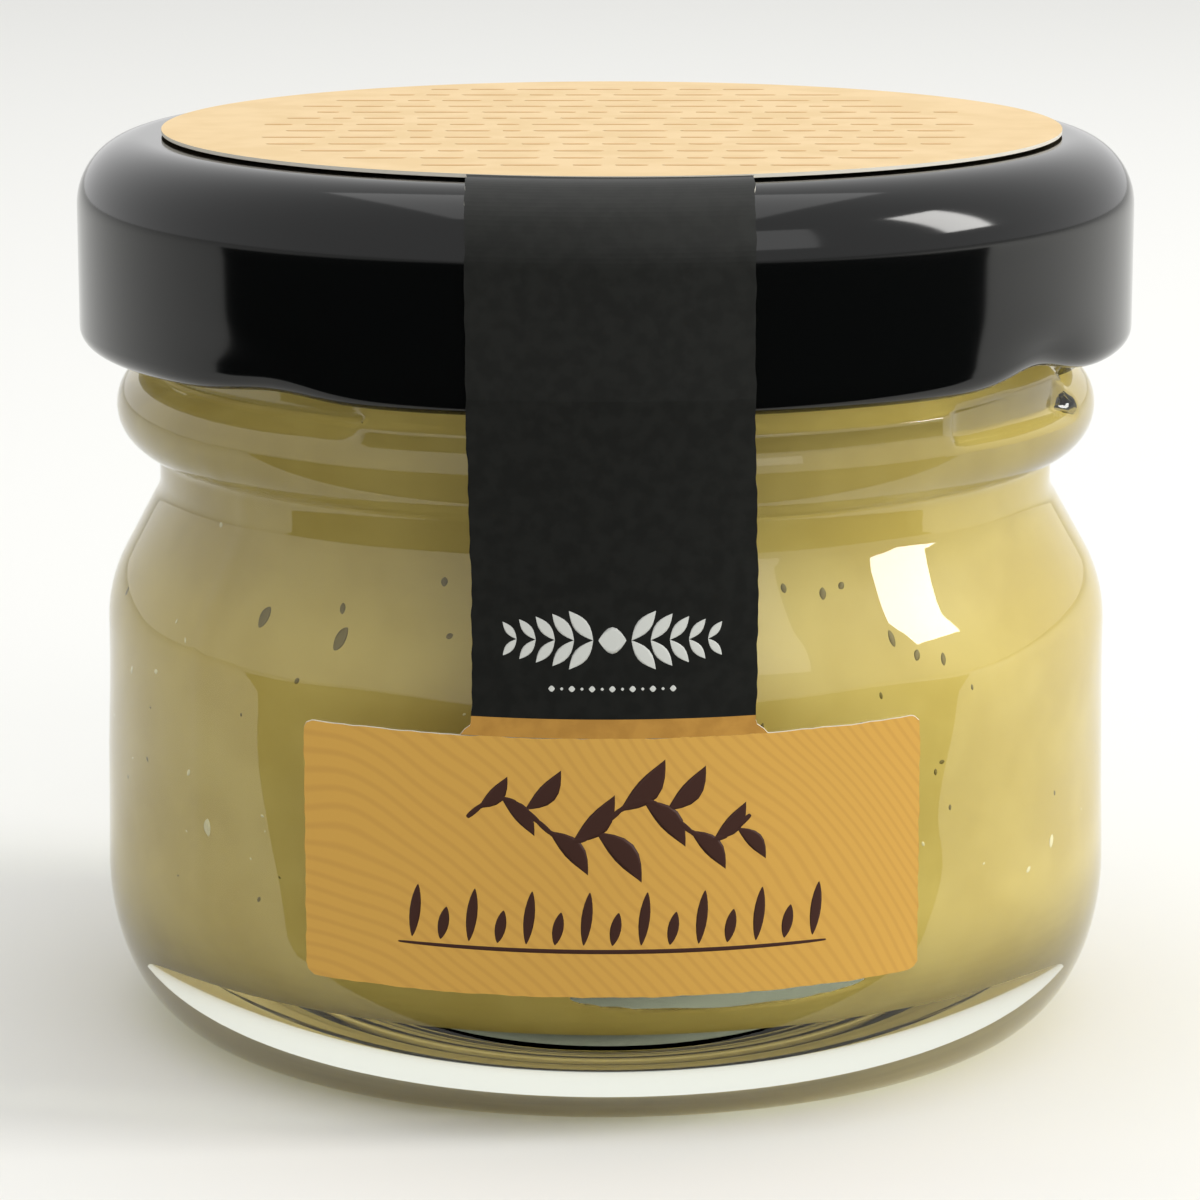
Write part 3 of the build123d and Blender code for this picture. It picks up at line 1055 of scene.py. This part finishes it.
def build_print(sizes, colours):
    """The inks on the label: a sprig and pods on the panel, a wreath on the strip, dashes on the disc."""
    printed_side = sizes.paper / MM + PRINT_LIFT

    def on_print(across, height, lift):
        return on_front(across, height, printed_side + lift)

    sprig_place = (LABEL_SHIFT - 0.2, 13.5)
    panel = joined(
        vine(on_print, sprig_place, half_length=5.6, sway=0.85, leaf=2.3, count=12, width=0.11),
        seed_pods(on_print, (LABEL_SHIFT, 8.4), step=1.15, count=15, height=2.2, width=0.22),
    )
    strip = joined(
        wreath(on_print, (LABEL_SHIFT, 20.9), half_length=4.6, count=5, leaf=1.15, seed=0.55),
        seed_row(on_print, (LABEL_SHIFT, 18.9), step=0.8, count=7, radius=0.13),
    )
    inks = {
        "panel_print": (panel, "offset_brown_ink", colours.ink, 0.55),
        "strip_print": (strip, "offset_pale_grey_ink", colours.pale_ink, 0.55),
        "disc_print": (small_print(13, SCATTER_SEED), "offset_tan_ink", colours.tan_ink, 0.6),
    }
    for name, (shape, ink_name, colour, roughness) in inks.items():
        ink = plain_finish(ink_name, tuple(colour), roughness, specular=0.3)
        add_piece(name, *shape, [ink], slot="label_paper")


# ---- Stage ----
CAMERA_PLACE = (0.0, -200.0, 59.84)
CAMERA_TARGET = (0.0, 0.0, 17.85)
CAMERA_LENS = 138.77
CAMERA_SHIFT = -0.0046
CLIP_START = 10.0
FLOOR_HALF = 3000.0
CARD_NEAR = 24.0
CARD_FAR = 700.0
CARD_HALF = 450.0
CARD_HEIGHT = 1.0
LAMP_TARGET = (0, 0, 20)
# Each lamp's name, place, width and height, and colour; its power is the stage setting of that name.
LAMPS = {
    "key": ((620, -60, 390), (170, 330), (1.0, 0.99, 0.96)),
    "front": ((330, -620, 420), (500, 400), (1.0, 1.0, 1.0)),
    "top": ((0, 60, 800), (700, 700), (1.0, 1.0, 1.0)),
}


def aimed(item, place, target):
    """Puts a lamp or camera at place, facing target."""
    item.location = Vector(place) * MM
    item.rotation_euler = (Vector(target) - Vector(place)).to_track_quat("-Z", "Y").to_euler()


def board(name, left, right, near, far, height, material):
    """A flat rectangle of the stage, facing up; near and far are measured towards the front."""
    corners = [(left, -far), (right, -far), (right, -near), (left, -near)]
    mesh = bpy.data.meshes.new(name)
    mesh.from_pydata([(x * MM, y * MM, height * MM) for x, y in corners], [], [(0, 1, 2, 3)])
    mesh.materials.append(material)
    item = add_to_scene(name, mesh)
    return item


def build_boards(stage):
    """The floor, and a black card in front that only gloss sees: it keeps the cap's front deep black."""
    white = plain_finish("matt_white_board", tuple(stage.floor), 0.9, specular=0.2)
    board("studio_floor", -FLOOR_HALF, FLOOR_HALF, -FLOOR_HALF, FLOOR_HALF, 0, white)
    black = plain_finish("matt_black_card", linear("#050505"), 1.0, specular=0.0)
    card = board("black_card", -CARD_HALF, CARD_HALF, CARD_NEAR, CARD_FAR, CARD_HEIGHT, black)
    for kind in ("camera", "diffuse", "transmission", "shadow"):
        setattr(card, "visible_" + kind, False)


def build_world(fill):
    """White where the camera, gloss or glass sees it, and of strength fill as light on the object."""
    world = bpy.data.worlds.new("studio_white")
    bpy.context.scene.world = world
    tree = new_tree(world)
    path = add_node(tree, "ShaderNodeLightPath")
    seen = path.outputs["Is Camera Ray"]
    for kind in ("Is Glossy Ray", "Is Transmission Ray"):
        either = add_node(
            tree, "ShaderNodeMath", links={0: seen, 1: path.outputs[kind]}, operation="MAXIMUM"
        )
        seen = either.outputs[0]
    strength = add_node(tree, "ShaderNodeMapRange", {"To Min": fill, "To Max": 1.0}, {"Value": seen})
    light = add_node(
        tree, "ShaderNodeBackground", {"Color": rgba((1, 1, 1))}, {"Strength": strength.outputs["Result"]}
    )
    add_node(tree, "ShaderNodeOutputWorld", links={"Surface": light.outputs[0]})


def build_lamps(stage):
    """Soft rectangular lamps: key from the right, fill from the front and from above."""
    for name, (place, size, colour) in LAMPS.items():
        data = bpy.data.lights.new(name + "_softbox", "AREA")
        data.shape = "RECTANGLE"
        data.size = size[0] * MM
        data.size_y = size[1] * MM
        data.energy = getattr(stage, name)
        data.color = colour
        aimed(add_to_scene(name + "_softbox", data), place, LAMP_TARGET)


def build_camera():
    """The scene's camera, a little above the jar in front."""
    data = bpy.data.cameras.new("camera")
    data.lens = CAMERA_LENS
    data.shift_x = CAMERA_SHIFT
    data.clip_start = CLIP_START * MM
    camera = add_to_scene("camera", data)
    aimed(camera, CAMERA_PLACE, CAMERA_TARGET)
    bpy.context.scene.camera = camera
    bpy.context.scene.view_settings.view_transform = "Standard"


# ---- Settings, operators and panel ----
def colour_setting(name, description, code):
    """A colour property whose default is an sRGB hex value."""
    return bpy.props.FloatVectorProperty(
        name=name, description=description, default=linear(code), size=3, subtype="COLOR", min=0, max=1
    )


def size_setting(name, description, value_mm):
    """A length property whose default is given in millimetres."""
    return bpy.props.FloatProperty(
        name=name, description=description, default=value_mm * MM, min=0, unit="LENGTH"
    )


def light_setting(name, description, value):
    """A strength or power property."""
    return bpy.props.FloatProperty(name=name, description=description, default=value, min=0)


class JarSizes(bpy.types.PropertyGroup):
    """Sizes that a user would change."""

    paper: size_setting("Paper", "Thickness of the label paper", PAPER)
    strip_width: size_setting("Strip width", "Width of the seal strip", 11.3)
    panel_width: size_setting("Panel width", "Width of the front panel", 24.9)
    bubble_count: bpy.props.IntProperty(
        name="Bubbles", description="Small bubbles scattered round the wall", default=60, min=1
    )
    painted_glint_count: bpy.props.IntProperty(
        name="Specks", description="Small pale specks scattered round the wall", default=40, min=1
    )


class JarColours(bpy.types.PropertyGroup):
    """Colours that a user would change."""

    glass: colour_setting("Glass", "Tint of the glass", "#f3f6ec")
    mustard: colour_setting("Mustard", "Main colour of the paste", "#d1ba68")
    mustard_shade: colour_setting("Mustard shade", "Second colour of the paste", "#c7af5c")
    # Painted shade: the dark colour inside each air bubble.
    painted_bubble_shade: colour_setting("Bubble", "Shade inside a bubble", "#7a6a2c")
    # Painted highlight: the pale colour of the specks stands in for glints on the paste.
    painted_glint: colour_setting("Speck", "Painted glint on the paste", "#efe6bd")
    cap: colour_setting("Cap", "Lacquer of the cap", "#070808")
    # Painted sheen and top light: the disc's cream is the orange paper made lighter for the sheen and light
    # from above.
    disc: colour_setting("Disc", "Print ground of the disc", "#e2c697")
    strip: colour_setting("Strip", "Print ground of the strip", "#161714")
    panel: colour_setting("Panel", "Print ground of the panel", "#cb9c44")
    panel_line: colour_setting("Panel line", "Wavy lines of the panel", "#b98a3c")
    ink: colour_setting("Ink", "Dark ink of the panel", "#3d1f14")
    pale_ink: colour_setting("Pale ink", "Ink on the strip", "#c9cbc6")
    tan_ink: colour_setting("Tan ink", "Ink on the disc", "#cfa56d")


class JarStage(bpy.types.PropertyGroup):
    """Light and floor."""

    fill: light_setting("Fill", "Strength of the light all round", 0.68)
    key: light_setting("Key", "Power of the key lamp in watts", 2.6)
    front: light_setting("Front", "Power of the front lamp in watts", 0.8)
    top: light_setting("Top", "Power of the top lamp in watts", 2.0)
    floor: colour_setting("Floor", "Colour of the floor", "#ededea")


class JAR_OT_glass(bpy.types.Operator):
    """Builds the glass jar"""

    bl_idname = "jar.glass"
    bl_label = "Glass"

    def execute(self, context):
        build_glass(context.scene.jar_colours)
        return {"FINISHED"}


class JAR_OT_filling(bpy.types.Operator):
    """Builds the mustard"""

    bl_idname = "jar.filling"
    bl_label = "Mustard"

    def execute(self, context):
        build_filling(context.scene.jar_colours)
        return {"FINISHED"}


class JAR_OT_bubbles(bpy.types.Operator):
    """Builds the air bubbles in the mustard, dark with painted shade"""

    bl_idname = "jar.bubbles"
    bl_label = "Bubbles"

    def execute(self, context):
        build_bubbles(context.scene.jar_sizes, context.scene.jar_colours)
        return {"FINISHED"}


class JAR_OT_painted_glints(bpy.types.Operator):
    """Builds the painted highlights: pale specks on the mustard in place of its glints"""

    bl_idname = "jar.specks"
    bl_label = "Specks"

    def execute(self, context):
        build_painted_glints(context.scene.jar_sizes, context.scene.jar_colours)
        return {"FINISHED"}


class JAR_OT_cap(bpy.types.Operator):
    """Builds the twist cap"""

    bl_idname = "jar.cap"
    bl_label = "Cap"

    def execute(self, context):
        build_cap(context.scene.jar_colours)
        return {"FINISHED"}


class JAR_OT_label(bpy.types.Operator):
    """Builds the paper seal label"""

    bl_idname = "jar.label"
    bl_label = "Label"

    def execute(self, context):
        build_label(context.scene.jar_sizes, context.scene.jar_colours)
        return {"FINISHED"}


class JAR_OT_print(bpy.types.Operator):
    """Builds the print on the label"""

    bl_idname = "jar.print"
    bl_label = "Print"

    def execute(self, context):
        build_print(context.scene.jar_sizes, context.scene.jar_colours)
        return {"FINISHED"}


class JAR_OT_stage(bpy.types.Operator):
    """Sets up the floor, the light and the camera"""

    bl_idname = "jar.stage"
    bl_label = "Stage"

    def execute(self, context):
        stage = context.scene.jar_stage
        build_boards(stage)
        build_world(stage.fill)
        build_lamps(stage)
        build_camera()
        return {"FINISHED"}


class JAR_PT_sidebar(bpy.types.Panel):
    """Lists the jar's settings and pieces"""

    bl_idname = "JAR_PT_sidebar"
    bl_label = "Mustard jar"
    bl_space_type = "VIEW_3D"
    bl_region_type = "UI"
    bl_category = "Jar"

    def draw(self, context):
        for settings in (context.scene.jar_sizes, context.scene.jar_colours, context.scene.jar_stage):
            for name in settings.__annotations__:
                self.layout.prop(settings, name)
        for operator in OPERATORS:
            self.layout.operator(operator.bl_idname)


GROUPS = {"jar_sizes": JarSizes, "jar_colours": JarColours, "jar_stage": JarStage}
OPERATORS = (
    JAR_OT_glass,
    JAR_OT_filling,
    JAR_OT_bubbles,
    JAR_OT_painted_glints,
    JAR_OT_cap,
    JAR_OT_label,
    JAR_OT_print,
    JAR_OT_stage,
)


def register():
    """Registers the settings, operators and panel."""
    for name, group in GROUPS.items():
        bpy.utils.register_class(group)
        setattr(bpy.types.Scene, name, bpy.props.PointerProperty(type=group))
    for operator in OPERATORS:
        bpy.utils.register_class(operator)
    bpy.utils.register_class(JAR_PT_sidebar)


def unregister():
    """Takes back what register added."""
    bpy.utils.unregister_class(JAR_PT_sidebar)
    for operator in reversed(OPERATORS):
        bpy.utils.unregister_class(operator)
    for name, group in reversed(GROUPS.items()):
        delattr(bpy.types.Scene, name)
        bpy.utils.unregister_class(group)


def main():
    register()
    bpy.ops.jar.glass()
    bpy.ops.jar.filling()
    bpy.ops.jar.bubbles()
    bpy.ops.jar.specks()
    bpy.ops.jar.cap()
    bpy.ops.jar.label()
    bpy.ops.jar.print()
    bpy.ops.jar.stage()


if __name__ == "__main__":
    main()
